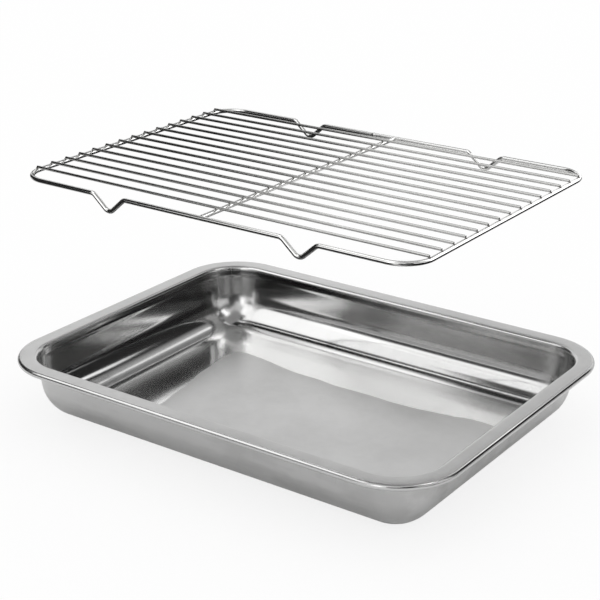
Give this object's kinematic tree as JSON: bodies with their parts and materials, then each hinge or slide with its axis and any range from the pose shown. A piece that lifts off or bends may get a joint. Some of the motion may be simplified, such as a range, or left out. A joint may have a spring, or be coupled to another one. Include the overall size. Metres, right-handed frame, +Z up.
{
  "type": "sheet pan with rack",
  "caption": "Deep rectangular stainless sheet pan with a flat rolled rim, and a loose wire rack on bent wire feet that stands inside it for roasting, baking and cooling.",
  "frame": {"origin": "centre of the pan's underside", "axes": "+X along the long side, +Y along the short side to the back, +Z up"},
  "size_m": [0.36, 0.274, 0.1867],
  "materials": {
    "pan_sheet": "satin, polished on the inside walls",
    "rack_wire": "polished"
  },
  "bodies": {
    "pan": {"tray_pan": "pan_sheet"},
    "rack": {"rack_frame_wire": "rack_wire", "rack_cross_bar": "rack_wire", "rack_wire_01": "rack_wire", "rack_wire_02": "rack_wire", "rack_wire_03": "rack_wire", "rack_wire_04": "rack_wire", "rack_wire_05": "rack_wire", "rack_wire_06": "rack_wire", "rack_wire_07": "rack_wire", "rack_wire_08": "rack_wire", "rack_wire_09": "rack_wire", "rack_wire_10": "rack_wire", "rack_wire_11": "rack_wire", "rack_wire_12": "rack_wire", "rack_wire_13": "rack_wire", "rack_wire_14": "rack_wire", "rack_wire_15": "rack_wire"}
  },
  "joints": [
    {"name": "rack_lift", "type": "slide", "parent": "pan", "child": "rack", "axis": [0, 0, 1], "range_m": [-0.155, 0]}
  ]
}
